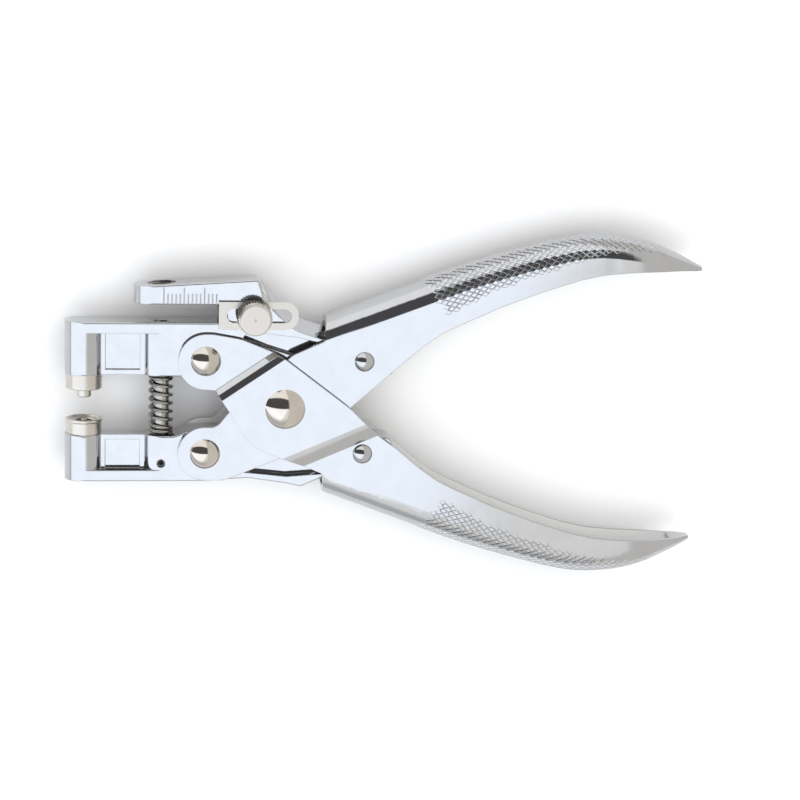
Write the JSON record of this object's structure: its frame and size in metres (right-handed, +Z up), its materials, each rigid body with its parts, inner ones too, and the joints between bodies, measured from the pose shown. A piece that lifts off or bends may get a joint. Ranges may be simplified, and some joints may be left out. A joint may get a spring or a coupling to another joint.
{
  "type": "parallel-action hole punch pliers",
  "caption": "Parallel-action pliers that punch a hole with a rod and bush in a ruler arm and set eyelets between two dies, with sheet-steel handles and a sliding stop.",
  "frame": {"origin": "centre of the pliers' bounding box in plan, at the height of the surface they lie flat on", "axes": "+X from the jaws towards the handles' tips, +Y from the lower jaw towards the ruler arm on the upper jaw, +Z up out of the cheek that carries the thumbscrew"},
  "size_m": [0.1608, 0.0878, 0.0228],
  "materials": {
    "chrome_casting": "bright chrome plate on a cast jaw",
    "chrome_sheet": "bright chrome plate on folded sheet steel",
    "nickel": "warm nickel plate, slightly duller than the chrome",
    "spring_steel": "plain drawn and ground steel"
  },
  "bodies": {
    "upper_jaw_body": {"upper_jaw": "chrome_casting", "upper_die": "nickel", "die_bush": "nickel", "return_spring": "spring_steel"},
    "lower_handle_body": {"lower_handle": "chrome_sheet", "main_rivet": "nickel", "upper_jaw_rivet": "nickel", "lower_slide_rivet": "chrome_sheet"},
    "upper_handle_body": {"upper_handle": "chrome_sheet", "pivot_spacer": "nickel", "lower_jaw_rivet": "nickel", "upper_slide_rivet": "chrome_sheet"},
    "lower_jaw_body": {"lower_jaw": "chrome_casting", "lower_die": "nickel", "punch_rod": "spring_steel", "roll_pin": "spring_steel"},
    "gauge_body": {"gauge_stop": "nickel"},
    "thumbscrew_body": {"thumbscrew": "nickel"}
  },
  "joints": [
    {"name": "lower_handle_hinge", "type": "hinge", "parent": "upper_jaw_body", "child": "lower_handle_body", "pos_m": [-0.0455, 0.0118, 0.0102], "axis": [0, 0, 1], "range_deg": [0, 10.1], "stiffness_Nm_per_rad": 2, "springref_deg": -8.59, "deforming": ["return_spring"]},
    {"name": "upper_handle_hinge", "type": "hinge", "parent": "lower_handle_body", "child": "upper_handle_body", "pos_m": [-0.0257, 0, 0.0102], "axis": [0, 0, 1], "range_deg": [-20.2, 0]},
    {"name": "lower_jaw_hinge", "type": "hinge", "parent": "upper_handle_body", "child": "lower_jaw_body", "pos_m": [-0.0455, -0.0118, 0.0102], "axis": [0, 0, 1], "range_deg": [0, 10.1]},
    {"name": "gauge_slide", "type": "slide", "parent": "upper_jaw_body", "child": "gauge_body", "axis": [1, 0, 0], "range_m": [-0.0076, 0.0005]},
    {"name": "thumbscrew_turn", "type": "hinge", "parent": "upper_jaw_body", "child": "thumbscrew_body", "pos_m": [-0.0337, 0.0232, 0.0102], "axis": [0, 0, 1], "range_deg": [0, 360]}
  ],
  "couplings": [
    {"joint": "upper_handle_hinge", "follows": "lower_handle_hinge", "ratio": -2},
    {"joint": "lower_jaw_hinge", "follows": "lower_handle_hinge", "ratio": 1}
  ]
}
